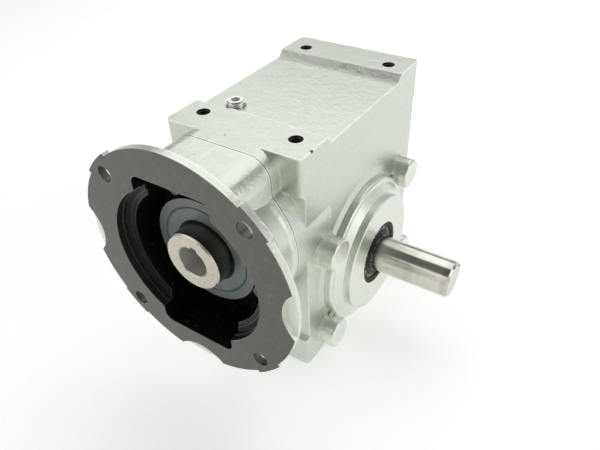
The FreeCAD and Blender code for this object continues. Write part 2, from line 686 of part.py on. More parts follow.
def cover(label, side, is_open):
    """Bearing cover with four ears: open for the shaft and its seal, or closed."""
    joint = s.cover_joint + s.gasket_thickness
    stop = s.spigot_end + s.side_width
    outer = [
        (s.spigot_end, s.side_outer), (s.spigot_end, s.side_bore_radius), (joint, s.side_bore_radius),
        (joint, s.cover_radius), (s.cover_edge, s.cover_radius), (s.cover_edge, s.cover_radius - 4),
        (s.hub_foot, s.hub_radius + 2.5), (s.hub_foot, s.hub_radius)]
    seat = s.hub_face - s.output_seal_depth
    if is_open:
        inner = [
            (s.hub_face, s.hub_radius), (s.hub_face, s.output_seal_radius), (seat, s.output_seal_radius),
            (seat, s.side_outer - 6), (stop, s.side_outer - 6), (stop, s.side_outer)]
    else:
        inner = [
            (s.closed_face, s.hub_radius), (s.closed_face, 0), (seat, 0), (seat, s.side_outer - 6),
            (stop, s.side_outer - 6), (stop, s.side_outer)]
    body = turned(label, s.output_height, "X", [(along * side, radius) for along, radius in outer + inner])
    left = side < 0
    hub_end = inner[0][0]
    for station, radius, rounding in ((s.cover_edge, s.cover_radius, s.cover_rounding),
                                      (hub_end, s.hub_radius, s.hub_rounding)):
        place = number(station) * side
        dress(body, "Fillet", rounding, lambda edge: rim_at(edge, "x", place, number(radius)))
    sketch = new_sketch(body, "YZ_Plane", joint * side)
    corner_circles(sketch, s.ear_y, s.ear_z, s.ear_radius)
    extrude(body, sketch, s.ear_face - joint, back=left)
    for slant in (1, -1):
        sketch = new_sketch(body, "YZ_Plane", joint * side)
        for end in (1, -1):
            web(sketch, end, slant)
        extrude(body, sketch, s.cover_edge - joint - s.cover_rounding, back=left)
    seat = s.ear_face - 6.5
    sketch = new_sketch(body, "YZ_Plane", s.ear_face * side)
    corner_circles(sketch, s.ear_y, s.ear_z, s.cap_radius)
    extrude(body, sketch, s.ear_face - seat, "Pocket", back=left)
    sketch = new_sketch(body, "YZ_Plane", seat * side)
    corner_circles(sketch, s.ear_y, s.ear_z, s.cover_screw_radius)
    extrude(body, sketch, seat - joint, "Pocket", back=left)
    front = number(s.ear_face) * side
    rim = number(s.ear_radius)
    dress(body, "Fillet", s.ear_rounding, lambda edge: rim_at(edge, "x", front, rim))


def web(sketch, end, slant):
    """The flat web that joins one ear to the cover's rim."""
    y = s.ear_y * end
    z = s.ear_z * end * slant
    points = [(y * along - z * across, z * along + y * across)
              for along, across in ((0.8, -0.13), (1.0, -0.11), (1.0, 0.11), (0.8, 0.13))]
    outline(sketch, points)


def cover_gasket(label, side):
    """Ring gasket under one cover, with a patch under each ear."""
    body = new_body(label, s.output_height)
    left = side < 0
    sketch = new_sketch(body, "YZ_Plane", s.cover_joint * side)
    circle(sketch, 0, 0, s.cover_radius)
    extrude(body, sketch, s.gasket_thickness, back=left)
    sketch = new_sketch(body, "YZ_Plane", s.cover_joint * side)
    corner_circles(sketch, s.ear_y, s.ear_z, s.ear_radius)
    extrude(body, sketch, s.gasket_thickness, back=left)
    sketch = new_sketch(body, "YZ_Plane", (s.cover_joint + s.gasket_thickness) * side)
    circle(sketch, 0, 0, s.side_bore_radius)
    corner_circles(sketch, s.ear_y, s.ear_z, s.cover_screw_radius)
    extrude(body, sketch, s.gasket_thickness, "Pocket", back=left)


def cover_caps(label, side):
    """Painted steel caps pressed in over the screw heads, level with the four ears."""
    body = new_body(label, s.output_height)
    left = side < 0
    sketch = new_sketch(body, "YZ_Plane", (s.ear_face - s.cap_thickness) * side)
    corner_circles(sketch, s.ear_y, s.ear_z, s.cap_radius)
    extrude(body, sketch, s.cap_thickness, back=left)


def output_seal():
    """Oil seal in the open cover: a rubber-covered case and the lip on the shaft."""
    back = s.hub_face - s.output_seal_depth
    face = s.hub_face - s.output_seal_recess
    inner = s.seal_land + 3
    turned("output_seal_case", s.output_height, "X", [
        (back, s.output_seal_radius), (face, s.output_seal_radius), (face, s.output_seal_radius - 2.2),
        (face - 1, s.output_seal_radius - 3), (face - 1, inner), (face - 2.6, inner),
        (face - 2.6, s.output_seal_radius - 2), (back, s.output_seal_radius - 2)])
    tip = s.seal_land + s.lip_play
    turned("output_seal_lip", s.output_height, "X", [
        (face - 0.6, inner), (face - 1.2, tip), (face - 1.9, tip), (face - 2.4, tip + 1),
        (back + 2.4, tip + 1), (back + 1.6, tip), (back + 1, tip), (back + 0.4, inner + 1),
        (face - 2.6, inner + 1), (face - 2.6, inner)])


def retaining_rings():
    """The snap ring on the quill behind the front bearing, and the one in the rear bore."""
    start = -s.front_start + s.front_width
    turned("shaft_ring", INPUT_HEIGHT, "Y", [
        (s.front_bore, start), (s.front_bore + 3, start), (s.front_bore + 3, start + 1.75),
        (s.front_bore, start + 1.75)])
    start = s.rear_start + s.rear_width + 0.2
    turned("bore_ring", INPUT_HEIGHT, "Y", [
        (s.rear_outer - 3, start), (s.rear_outer + 1.6, start), (s.rear_outer + 1.6, start + 1.7),
        (s.rear_outer - 3, start + 1.7)])


def rear_cap():
    """Pressed cap that closes the rear bearing bore."""
    start = s.rear_start + s.rear_width + 2.2
    end = s.case_length / 2 - s.end_recess - 0.6
    turned("rear_cap", INPUT_HEIGHT, "Y", [
        (0, end - 2), (s.rear_outer - 2, end - 2), (s.rear_outer - 2, start), (s.rear_outer, start),
        (s.rear_outer, end - 0.8), (s.rear_outer - 0.8, end), (0, end)])


def pipe_plug(label, side):
    """Tapered pipe plug with a hexagon socket: side is +1 on top and -1 below."""
    body = new_body(label, s.output_height)
    end = s.case_height - s.output_height if side > 0 else s.output_height
    seat = (end - s.foot_recess) * side
    root = s.plug_root
    away = side < 0

    def disc(height, radius, length, back=away):
        sketch = new_sketch(body, "XY_Plane", height)
        circle(sketch, -s.plug_x, -s.plug_y, radius)
        extrude(body, sketch, length, back=back)

    disc(seat, root, s.plug_depth, back=not away)
    threads = 2
    step = s.plug_height / threads
    ridge = step * 0.55
    for level in range(threads):
        disc(seat + step * level * side, root, step)
        crest = seat + (step * (level + 1) - ridge) * side
        disc(crest, s.plug_radius - s.plug_taper * level, ridge)
    disc(seat + s.plug_height * side, root, s.plug_crown)
    top = seat + (s.plug_height + s.plug_crown) * side
    dress(body, "Chamfer", s.plug_crown * 0.9, lambda edge: rim_at(edge, "z", number(top), number(root)))
    sketch = new_sketch(body, "XY_Plane", top)
    hexagon(sketch, -s.plug_x, -s.plug_y, s.plug_socket)
    extrude(body, sketch, s.plug_height + s.plug_crown, "Pocket", back=away)


def check_and_write():
    """Write one STEP file for each piece once every object has been found sound."""
    doc.recompute()
    for item in doc.Objects:
        if {"Invalid", "Error"} & set(item.State):
            raise RuntimeError("%s is in error" % item.Label)
    os.makedirs("parts", exist_ok=True)
    for body in pieces:
        shape = body.Shape
        if shape.isNull() or not shape.isValid():
            raise RuntimeError("%s has no sound shape" % body.Label)
        shape.exportStep("parts/%s.step" % body.Label)
        print("%-24s %2d solids %10.0f mm3" % (body.Label, len(shape.Solids), shape.Volume))


housing()
motor_adapter()
adapter_gasket()
screws("adapter_screws", INPUT_HEIGHT, "XZ_Plane", s.bell_floor,
       (s.adapter_screw_offset, s.adapter_screw_offset), (s.adapter_screw_radius + 2, 6.0),
       (s.adapter_screw_radius, 20.0), Size(5.0, "5.0"))
input_seal()
worm_shaft()
bearing("front_bearing", INPUT_HEIGHT, "Y", -s.front_start, s.front_bore, s.front_outer, s.front_width)
bearing("rear_bearing", INPUT_HEIGHT, "Y", s.rear_start, s.rear_bore, s.rear_outer, s.rear_width)
retaining_rings()
rear_cap()
output_shaft()
wheel_hub()
worm_wheel()
wheel_key()
output_seal()
for name, side in (("right", 1), ("left", -1)):
    spacer("spacer_" + name, side)
    start = s.spigot_end if side > 0 else -s.spigot_end - s.side_width
    bearing(name + "_bearing", s.output_height, "X", start, s.side_bore, s.side_outer, s.side_width)
    cover("output_cover" if side > 0 else "closed_cover", side, side > 0)
    cover_gasket("cover_gasket_" + name, side)
    screws("cover_screws_" + name, s.output_height, "YZ_Plane", (s.ear_face - 6.5) * side,
           (s.ear_y, s.ear_z), (s.cover_head_radius, 5.0), (s.cover_screw_radius, 20.0), Size(6.0, "6.0"))
    cover_caps("cover_caps_" + name, side)
pipe_plug("fill_plug", 1)
pipe_plug("drain_plug", -1)
check_and_write()
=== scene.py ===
"""Studio scene for the worm gearbox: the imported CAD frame, its finishes, added cast and machined detail."""

import json
import math

import bmesh
import bpy
from mathutils import Matrix, Vector


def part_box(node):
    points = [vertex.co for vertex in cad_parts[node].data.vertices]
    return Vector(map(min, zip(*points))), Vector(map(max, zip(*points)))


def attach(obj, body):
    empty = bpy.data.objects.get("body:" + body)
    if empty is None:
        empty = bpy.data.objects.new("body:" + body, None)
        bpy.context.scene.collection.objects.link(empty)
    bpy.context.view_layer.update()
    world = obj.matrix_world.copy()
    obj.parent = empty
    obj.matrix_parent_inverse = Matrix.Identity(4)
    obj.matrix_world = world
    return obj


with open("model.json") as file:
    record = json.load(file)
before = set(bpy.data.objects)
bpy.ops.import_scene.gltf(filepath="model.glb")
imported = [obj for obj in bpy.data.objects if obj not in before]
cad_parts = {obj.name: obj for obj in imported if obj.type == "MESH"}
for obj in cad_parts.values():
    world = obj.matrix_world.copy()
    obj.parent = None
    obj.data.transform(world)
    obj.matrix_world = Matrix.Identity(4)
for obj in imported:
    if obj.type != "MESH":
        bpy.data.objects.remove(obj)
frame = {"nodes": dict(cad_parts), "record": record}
NODES = frame["nodes"]
MOUNTS = {mount["name"]: mount for mount in frame["record"]["mounts"]}
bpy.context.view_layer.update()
MM = 0.001


# ---------------------------------------------------------------- places read from the frame

def middle(node):
    low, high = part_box(node)
    return (Vector(low) + Vector(high)) / 2


INPUT_AXIS = middle("front_bearing_inner_ring")
OUTPUT_AXIS = middle("right_bearing_inner_ring")
FACE_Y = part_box("motor_adapter")[0][1]
SEAL_FACE_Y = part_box("input_seal_case")[0][1]
OUTPUT_SEAL_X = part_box("output_seal_case")[1][0]
BOLT_OFFSET = MOUNTS["motor_face_bolts"]["dims"]["pcd_mm"] * MM / 2 / math.sqrt(2)
BOLT_RADIUS = MOUNTS["motor_face_bolts"]["dims"]["hole_r_mm"] * MM
BORE_RADIUS = MOUNTS["input_bore"]["dims"]["r_mm"] * MM
REGISTER_RADIUS = MOUNTS["motor_register"]["dims"]["r_mm"] * MM
FOOT_X = MOUNTS["feet_top"]["dims"]["spacing_x_mm"] * MM / 2
FOOT_Y = MOUNTS["feet_top"]["dims"]["spacing_y_mm"] * MM / 2
HOLE_RADIUS = MOUNTS["feet_bottom"]["dims"]["hole_r_mm"] * MM
KNOCK_PLACE = (MOUNTS["feet_top"]["pos_m"][0] + 0.0524, -0.0705, MOUNTS["feet_top"]["pos_m"][2])
PAINT_METAL = 0.78

# The bell inside the adapter, each size a hair past the surface that it marks.
BELL_RADIUS = 0.0503
BELL_DEPTH = 0.0370
RING_RADIUS = 0.0500
MOUTH_DEPTH = 0.0097
SLOT_HALF_WIDTH = 0.0296
SLOT_HALF_HEIGHT = 0.0606
SEAL_HUB_RADIUS = 0.0391
SEAL_HUB_DEPTH = 0.0204


# ---------------------------------------------------------------- node helpers

class Shader:
    """A material's node tree with one short method for each kind of node it needs."""

    def __init__(self, name):
        self.material = bpy.data.materials.new(name)
        self.material.use_nodes = True
        self.tree = self.material.node_tree
        self.links = self.tree.links
        self.surface = self.tree.nodes["Principled BSDF"]
        self.point = self.add("ShaderNodeTexCoord").outputs["Object"]

    def add(self, kind, **settings):
        node = self.tree.nodes.new(kind)
        for name, value in settings.items():
            setattr(node, name, value)
        return node

    def feed(self, socket, value):
        """Link an output to a socket, or set the socket's own value."""
        if isinstance(value, bpy.types.NodeSocket):
            self.links.new(value, socket)
        elif isinstance(value, tuple):
            socket.default_value = (*value, 1.0)
        else:
            socket.default_value = value

    def noise(self, scale, detail=3.0, rough=0.5, stretch=None):
        point = self.point
        if stretch is not None:
            mapping = self.add("ShaderNodeMapping")
            mapping.inputs["Scale"].default_value = stretch
            self.links.new(point, mapping.inputs["Vector"])
            point = mapping.outputs["Vector"]
        node = self.add("ShaderNodeTexNoise")
        self.links.new(point, node.inputs["Vector"])
        node.inputs["Scale"].default_value = scale
        node.inputs["Detail"].default_value = detail
        node.inputs["Roughness"].default_value = rough
        return node.outputs["Fac"]

    def math(self, operation, first, second=0.0):
        node = self.add("ShaderNodeMath", operation=operation)
        self.feed(node.inputs[0], first)
        self.feed(node.inputs[1], second)
        return node.outputs[0]

    def both(self, *masks):
        """Where every mask is 1."""
        result = masks[0]
        for mask in masks[1:]:
            result = self.math("MULTIPLY", result, mask)
        return result

    def either(self, *masks):
        """Where any mask is 1."""
        result = masks[0]
        for mask in masks[1:]:
            result = self.math("MAXIMUM", result, mask)
        return result

    def step(self, value, low, high):
        """A ramp from 0 at low to 1 at high; low may be the larger."""
        node = self.add("ShaderNodeMapRange")
        self.feed(node.inputs["Value"], value)
        node.inputs["From Min"].default_value = low
        node.inputs["From Max"].default_value = high
        return node.outputs["Result"]

    def below(self, value, limit, soft=0.0003):
        """1 where the value is under the limit, with a narrow ramp."""
        return self.step(value, limit + soft, limit)

    def between(self, value, low, high):
        """Rescale 0..1 to low..high."""
        node = self.add("ShaderNodeMapRange")
        self.feed(node.inputs["Value"], value)
        node.inputs["To Min"].default_value = low
        node.inputs["To Max"].default_value = high
        return node.outputs["Result"]

    def mix(self, amount, first, second):
        """Mix two colours."""
        node = self.add("ShaderNodeMix", data_type="RGBA")
        self.feed(node.inputs["Factor"], amount)
        self.feed(node.inputs[6], first)
        self.feed(node.inputs[7], second)
        return node.outputs[2]

    def blend(self, amount, first, second):
        """Mix two numbers."""
        node = self.add("ShaderNodeMix", data_type="FLOAT")
        self.feed(node.inputs[0], amount)
        self.feed(node.inputs[2], first)
        self.feed(node.inputs[3], second)
        return node.outputs[0]

    def blend_normals(self, amount, first, second):
        node = self.add("ShaderNodeMix", data_type="VECTOR")
        self.feed(node.inputs[0], amount)
        self.links.new(first, node.inputs[4])
        self.links.new(second, node.inputs[5])
        return node.outputs[1]

    def across(self, axis):
        """One coordinate of the point, in metres."""
        node = self.add("ShaderNodeSeparateXYZ")
        self.links.new(self.point, node.inputs[0])
        return node.outputs["XYZ".index(axis)]

    def off(self, axis, place):
        """Distance from a place along one axis."""
        return self.math("ABSOLUTE", self.math("SUBTRACT", self.across(axis), place))

    def length(self, first, second):
        squares = [self.math("MULTIPLY", side, side) for side in (first, second)]
        return self.math("SQRT", self.math("ADD", *squares))

    def radius(self, axis, centre):
        """Distance from a line through centre along X or Y."""
        one = "Y" if axis == "X" else "X"
        return self.length(self.off(one, getattr(centre, one.lower())), self.off("Z", centre.z))

    def edges(self, reach, low=0.01, high=0.12):
        """1 within reach of an edge of the shape, 0 on open faces."""
        rounded = self.add("ShaderNodeBevel")
        rounded.inputs["Radius"].default_value = reach
        plain = self.add("ShaderNodeNewGeometry")
        compare = self.add("ShaderNodeVectorMath", operation="DOT_PRODUCT")
        self.links.new(rounded.outputs[0], compare.inputs[0])
        self.links.new(plain.outputs["Normal"], compare.inputs[1])
        return self.step(self.math("SUBTRACT", 1.0, compare.outputs["Value"]), low, high)

    def bump(self, height, strength, distance, after=None):
        node = self.add("ShaderNodeBump")
        node.inputs["Strength"].default_value = strength
        node.inputs["Distance"].default_value = distance
        self.feed(node.inputs["Height"], height)
        if after is not None:
            self.links.new(after, node.inputs["Normal"])
        return node.outputs["Normal"]

    def finish(self, **inputs):
        """Feed the surface's sockets, named in words: base_color, roughness and so on."""
        names = {socket.name.lower().replace(" ", "_"): socket for socket in self.surface.inputs}
        for name, value in inputs.items():
            self.feed(names[name], value)
        return self.material


def assign(material, *nodes):
    """Give CAD nodes a finished material."""
    for name in nodes:
        slots = NODES[name].data.materials
        slots.clear()
        slots.append(material)


# ---------------------------------------------------------------- finishes

def paint_parts(shader, dark, light):
    """Colour, roughness and normal of the silver-grey paint over sand-cast iron, with lighter edges that are
    partly wear and partly painted highlight.
    """
    cloud = shader.noise(9.0, 3.0)
    mottle = shader.noise(150.0, 4.0, 0.6)
    grain = shader.noise(560.0, 3.0, 0.6)
    color = shader.mix(cloud, dark, light)
    color = shader.mix(shader.step(grain, 0.56, 0.86), color, (0.82, 0.84, 0.775))
    # Edges painted lighter: partly worn paint, partly a painted highlight where the edges catch light.
    worn_and_highlit_edges = shader.both(shader.edges(0.0026, 0.02, 0.16), shader.step(mottle, 0.25, 0.60))
    color = shader.mix(worn_and_highlit_edges, color, (0.96, 0.97, 0.94))
    rough = shader.between(mottle, 0.22, 0.40)
    normal = shader.bump(grain, 0.30, 0.0006)
    normal = shader.bump(mottle, 0.30, 0.0012, normal)
    return color, rough, normal


def chipped(shader, color):
    """A few small chips that show dark iron."""
    chips = shader.step(shader.noise(120.0, 2.0, 0.4), 0.79, 0.80)
    return shader.mix(chips, color, (0.09, 0.09, 0.08))


def housing_paint():
    """Paint, with the bare oily bores of the tapped holes and one knocked edge."""
    shader = Shader("case_paint")
    color, rough, normal = paint_parts(shader, (0.595, 0.635, 0.56), (0.66, 0.695, 0.62))
    color = chipped(shader, color)
    dark = (0.035, 0.035, 0.033)
    knock = shader.add("ShaderNodeVectorMath", operation="DISTANCE")
    shader.links.new(shader.point, knock.inputs[0])
    knock.inputs[1].default_value = KNOCK_PLACE
    color = shader.mix(shader.below(knock.outputs["Value"], 0.0012, 0.0004), color, dark)
    to_hole = shader.length(shader.math("SUBTRACT", shader.off("X", 0.0), FOOT_X),
                            shader.math("SUBTRACT", shader.off("Y", 0.0), FOOT_Y))
    color = shader.mix(shader.below(to_hole, HOLE_RADIUS + 0.0004, 0.0001), color, dark)
    return shader.finish(base_color=color, roughness=rough, normal=normal, metallic=PAINT_METAL,
                         coat_weight=0.2, coat_roughness=0.25)


def cover_paint():
    shader = Shader("cover_paint")
    # The housing's paint made lighter for the covers, their caps and gaskets: painted light on the rings and
    # ears.
    color, rough, normal = paint_parts(shader, (0.71, 0.75, 0.67), (0.78, 0.815, 0.735))
    return shader.finish(base_color=chipped(shader, color), roughness=rough, normal=normal,
                         metallic=PAINT_METAL, coat_weight=0.2, coat_roughness=0.25)


def adapter_finish():
    """Paint outside, a bare turned face in front, and a bell inside painted near-black as shade, with rust
    spots and painted glints on the edges of its register ring.
    """
    shader = Shader("adapter_cast_and_machined")
    color, paint_rough, paint_normal = paint_parts(shader, (0.645, 0.685, 0.605), (0.72, 0.755, 0.675))
    reach = shader.radius("Y", INPUT_AXIS)
    station = shader.math("SUBTRACT", shader.across("Y"), FACE_Y)
    smudge = shader.noise(20.0, 4.0, 0.6)
    streak = shader.noise(160.0, 4.0, 0.6)
    rings = shader.math("SINE", shader.math("MULTIPLY", reach, 9000.0))

    iron = shader.mix(smudge, (0.105, 0.106, 0.092), (0.140, 0.140, 0.122))
    iron = shader.mix(shader.step(streak, 0.50, 0.80), iron, (0.160, 0.157, 0.136))
    edge = shader.both(shader.edges(0.0008), shader.step(streak, 0.4, 0.6))
    iron = shader.mix(edge, iron, (0.30, 0.30, 0.27))

    rust = shader.step(shader.noise(260.0, 2.0), 0.64, 0.72)
    # The bell's inside is painted near-black as shade, with rust spots.
    inside = shader.mix(rust, (0.010, 0.010, 0.010), (0.10, 0.066, 0.032))
    # The register ring is painted dark as shade, with painted highlights along its edges.
    ring_shade_and_glints = shader.mix(shader.step(streak, 0.35, 0.7), (0.022, 0.025, 0.025), (0.050, 0.055, 0.055))
    ring_shade_and_glints = shader.mix(shader.edges(0.0006, 0.005, 0.06), ring_shade_and_glints, (0.22, 0.24, 0.24))
    hub_face = shader.mix(smudge, (0.12, 0.13, 0.125), (0.20, 0.21, 0.20))

    in_front = shader.below(station, 0.0004)
    half_width = shader.off("X", INPUT_AXIS.x)
    half_height = shader.off("Z", INPUT_AXIS.z)
    in_slot = shader.both(shader.below(half_width, SLOT_HALF_WIDTH),
                          shader.below(half_height, SLOT_HALF_HEIGHT))
    in_bore = shader.below(reach, BELL_RADIUS)
    in_mouth = shader.both(shader.below(reach, REGISTER_RADIUS + 0.0002),
                           shader.below(station, MOUTH_DEPTH))
    in_bell = shader.both(shader.either(in_mouth, in_slot, in_bore), shader.below(station, BELL_DEPTH))
    to_bolt = shader.length(shader.math("SUBTRACT", half_width, BOLT_OFFSET),
                            shader.math("SUBTRACT", half_height, BOLT_OFFSET))
    in_bolt = shader.below(to_bolt, BOLT_RADIUS + 0.0003)
    on_ring = shader.both(in_mouth, shader.step(reach, RING_RADIUS - 0.0003, RING_RADIUS))
    on_hub = shader.both(shader.below(reach, SEAL_HUB_RADIUS), shader.below(station, SEAL_HUB_DEPTH))

    inner = shader.mix(on_ring, inside, ring_shade_and_glints)
    inner = shader.mix(on_hub, inner, hub_face)
    color = shader.mix(in_bell, color, inner)
    color = shader.mix(shader.either(in_front, in_bolt), color, iron)
    bare = shader.either(in_front, in_bell, in_bolt)
    turned = shader.bump(rings, 0.12, 0.0002, shader.bump(streak, 0.15, 0.0003))
    rough = shader.blend(bare, paint_rough, shader.between(smudge, 0.34, 0.50))
    return shader.finish(base_color=color, roughness=rough, metallic=shader.blend(bare, PAINT_METAL, 0.75),
                         normal=shader.blend_normals(bare, paint_normal, turned))


def quill_steel():
    """Turned face in warm worn steel; the outside is the same steel painted darker as a painted reflection,
    and the bore is painted bright as painted light.
    """
    shader = Shader("quill_steel")
    reach = shader.radius("Y", INPUT_AXIS)
    path = shader.math("ADD", shader.across("Y"), reach)
    marks = shader.math("SINE", shader.math("MULTIPLY", path, 12000.0))
    cloud = shader.noise(160.0, 5.0, 0.65)
    face = shader.mix(cloud, (0.46, 0.42, 0.35), (0.68, 0.64, 0.55))
    pits = shader.step(shader.noise(420.0, 2.0), 0.66, 0.72)
    face = shader.mix(pits, face, (0.20, 0.17, 0.13))
    # The outside is painted darker than the face: a painted reflection of the dark surroundings that polished
    # steel shows.
    side = shader.mix(cloud, (0.16, 0.16, 0.14), (0.27, 0.27, 0.24))
    on_side = shader.step(shader.across("Y"), SEAL_FACE_Y - 0.0119, SEAL_FACE_Y - 0.0115)
    on_side = shader.both(on_side, shader.step(reach, 0.0150, 0.0160))
    in_bore = shader.both(shader.below(reach, BORE_RADIUS + 0.0002, 0.0002),
                          shader.step(shader.across("Y"), FACE_Y + 0.0078, FACE_Y + 0.0082))
    color = shader.mix(on_side, face, side)
    # The bore is painted bright: painted light where no lamp reaches inside.
    color = shader.mix(in_bore, color, (0.80, 0.80, 0.74))
    rough = shader.blend(in_bore, shader.between(cloud, 0.22, 0.42), 0.55)
    return shader.finish(base_color=color, roughness=rough, metallic=1.0,
                         normal=shader.bump(marks, 0.06, 0.0001))


def shaft_steel():
    """Ground and polished steel with fine rings and faint darker bands."""
    shader = Shader("shaft_steel")
    along = shader.across("X")
    marks = shader.math("SINE", shader.math("MULTIPLY", along, 16000.0))
    bands = shader.noise(110.0, 3.0, stretch=(1.0, 0.05, 0.05))
    color = shader.mix(shader.step(bands, 0.3, 0.7), (0.53, 0.515, 0.46), (0.70, 0.685, 0.62))
    rough = shader.between(bands, 0.12, 0.24)
    return shader.finish(base_color=color, roughness=rough, metallic=1.0,
                         normal=shader.bump(marks, 0.06, 0.0001))


def seal_steel():
    """Pressed grey case of the input seal, oily in places."""
    shader = Shader("seal_case")
    smear = shader.noise(120.0, 3.0, stretch=(1.0, 0.2, 1.0))
    color = shader.mix(smear, (0.10, 0.125, 0.12), (0.21, 0.235, 0.225))
    return shader.finish(base_color=color, roughness=shader.between(smear, 0.34, 0.5), metallic=0.5,
                         normal=shader.bump(smear, 0.1, 0.0003))


def teal_rubber():
    shader = Shader("teal_rubber")
    dust = shader.noise(300.0, 3.0)
    color = shader.mix(dust, (0.008, 0.055, 0.052), (0.03, 0.11, 0.10))
    return shader.finish(base_color=color, roughness=shader.between(dust, 0.3, 0.5),
                         normal=shader.bump(dust, 0.1, 0.0002))


def black_rubber():
    """Black rubber with silver overspray where the case was painted round it."""
    shader = Shader("seal_rubber")
    patch = shader.noise(210.0, 3.0, 0.6)
    color = shader.mix(patch, (0.008, 0.008, 0.008), (0.024, 0.024, 0.023))
    color = shader.mix(shader.step(patch, 0.69, 0.72), color, (0.36, 0.38, 0.35))
    return shader.finish(base_color=color, roughness=shader.between(patch, 0.40, 0.6),
                         specular_ior_level=0.25, normal=shader.bump(patch, 0.15, 0.0004))


def plain_metal(name, dark, light, rough, metallic=1.0):
    """A metal with soft blotches, fine scratches and a painted highlight along its edges."""
    shader = Shader(name)
    cloud = shader.noise(90.0, 4.0)
    scratch = shader.noise(700.0, 2.0, stretch=(1.0, 0.15, 1.0))
    color = shader.mix(cloud, dark, light)
    # Edges painted lighter: a painted highlight.
    color = shader.mix(shader.edges(0.0004), color, tuple(min(1.0, part * 1.25) for part in light))
    return shader.finish(base_color=color, roughness=shader.between(scratch, rough * 0.8, rough * 1.3),
                         metallic=metallic, normal=shader.bump(scratch, 0.08, 0.0002))


def gasket_fibre():
    shader = Shader("gasket_fibre")
    fibre = shader.noise(900.0, 3.0, stretch=(1.0, 0.3, 1.0))
    color = shader.mix(fibre, (0.05, 0.055, 0.05), (0.20, 0.21, 0.19))
    return shader.finish(base_color=color, roughness=0.8, normal=shader.bump(fibre, 0.3, 0.0003))


PAINTED_COVERS = ("output_cover", "closed_cover", "rear_cap")


def finish_frame():
    """Every CAD node gets the finish of its piece."""
    painted = cover_paint()
    steel = plain_metal("ground_steel", (0.42, 0.42, 0.41), (0.58, 0.57, 0.55), 0.3)
    brass = plain_metal("cage_brass", (0.55, 0.38, 0.14), (0.68, 0.50, 0.22), 0.35)
    rubber = black_rubber()
    fibre = gasket_fibre()
    for name in NODES:
        if name.endswith("cage"):
            assign(brass, name)
        elif name == "adapter_gasket":
            assign(fibre, name)
        elif name in PAINTED_COVERS or "cover_gasket" in name or "caps" in name:
            assign(painted, name)
        else:
            assign(steel, name)
    assign(housing_paint(), "housing")
    assign(adapter_finish(), "motor_adapter")
    assign(rubber, "output_seal_case", "output_seal_lip", "input_seal_lip")
    assign(seal_steel(), "input_seal_case")
    assign(quill_steel(), "worm_shaft")
    assign(shaft_steel(), "output_shaft")
    assign(plain_metal("bronze", (0.50, 0.30, 0.12), (0.66, 0.42, 0.18), 0.3), "worm_wheel")
    assign(plain_metal("iron", (0.10, 0.10, 0.10), (0.20, 0.20, 0.20), 0.5), "wheel_hub")
    assign(plain_metal("zinc", (0.66, 0.66, 0.62), (0.85, 0.85, 0.80), 0.28), "fill_plug", "drain_plug")


CAST_ROUNDS = {"output_cover": 0.0010, "closed_cover": 0.0010, "housing": 0.0024, "motor_adapter": 0.0007}
SHARP_ANGLE = 32.0


def round_cast_edges(name, width):
    """Soften the edges of a casting with narrow rounds."""
    piece = NODES[name]
    merge = piece.modifiers.new("flat_faces", "DECIMATE")
    merge.decimate_type = "DISSOLVE"
    merge.angle_limit = math.radians(0.3)
    rounds = piece.modifiers.new("cast_edges", "BEVEL")
    rounds.width = width
    rounds.segments = 3
    rounds.limit_method = "ANGLE"
    rounds.angle_limit = math.radians(SHARP_ANGLE)
    rounds.harden_normals = True


# ---------------------------------------------------------------- added detail

def join_piece(piece, material, body="case"):
    """Finish one added piece: material, body and slot."""
    piece.data.materials.append(material)
    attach(piece, body)


def wire_piece(name, paths, thickness, closed=False):
    """A round wire along one or more paths."""
    data = bpy.data.curves.new(name, "CURVE")
    data.dimensions = "3D"
    data.bevel_depth = thickness / 2
    data.bevel_resolution = 3
    data.use_fill_caps = not closed
    for path in paths:
        spline = data.splines.new("POLY")
        spline.points.add(len(path) - 1)
        for point, place in zip(spline.points, path):
            point.co = (*place, 1.0)
        spline.use_cyclic_u = closed
    piece = bpy.data.objects.new(name, data)
    bpy.context.scene.collection.objects.link(piece)
    return piece


def surface(node, start, way):
    """Where a ray from start first meets a CAD node."""
    hit, place, normal, face = NODES[node].ray_cast(start, way)
    if not hit:
        raise RuntimeError("the ray misses " + node)
    return place, normal


def parting_line(material):
    """The fine cast ridge where the two halves of the mould met, along the middle of the case."""
    low, high = (Vector(corner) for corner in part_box("housing"))
    down = Vector((0.0, 0.0, -1.0))
    up = -down
    steps = 44
    reach = FOOT_Y - 0.0125
    paths = []
    for start_z, way in ((high.z + 0.01, down), (low.z - 0.01, up)):
        path = []
        for index in range(steps + 1):
            y = -reach + 2 * reach * index / steps
            place, normal = surface("housing", Vector((0.0, y, start_z)), way)
            path.append(place - normal * 0.00005)
        paths.append(path)
    ridge = wire_piece("parting_line", paths, 0.0005)
    join_piece(ridge, material)


def tapped_threads(material):
    """The first turns of thread in the tapped holes of the feet."""
    pitch = 25.4 * MM / 16
    turns = 6
    points = 28
    for name, mount in (("upper_threads", "feet_top"), ("lower_threads", "feet_bottom")):
        face = Vector(MOUNTS[mount]["pos_m"])
        out = Vector(MOUNTS[mount]["axis"])
        radius = MOUNTS[mount]["dims"]["hole_r_mm"] * MM
        paths = []
        for x in (-FOOT_X, FOOT_X):
            for y in (-FOOT_Y, FOOT_Y):
                centre = face + Vector((x, y, 0.0))
                path = []
                for index in range(turns * points + 1):
                    angle = 2 * math.pi * index / points
                    depth = 0.0009 + pitch * index / points
                    spoke = Vector((math.cos(angle), math.sin(angle), 0.0)) * (radius - 0.0001)
                    path.append(centre + spoke - out * depth)
                paths.append(path)
        threads = wire_piece(name, paths, 0.0008)
        join_piece(threads, material)


def ring_path(centre, radius, count=144):
    """Points round a circle about an axis along Y."""
    path = []
    for index in range(count):
        angle = 2 * math.pi * index / count
        path.append(centre + Vector((radius * math.cos(angle), 0.0, radius * math.sin(angle))))
    return path


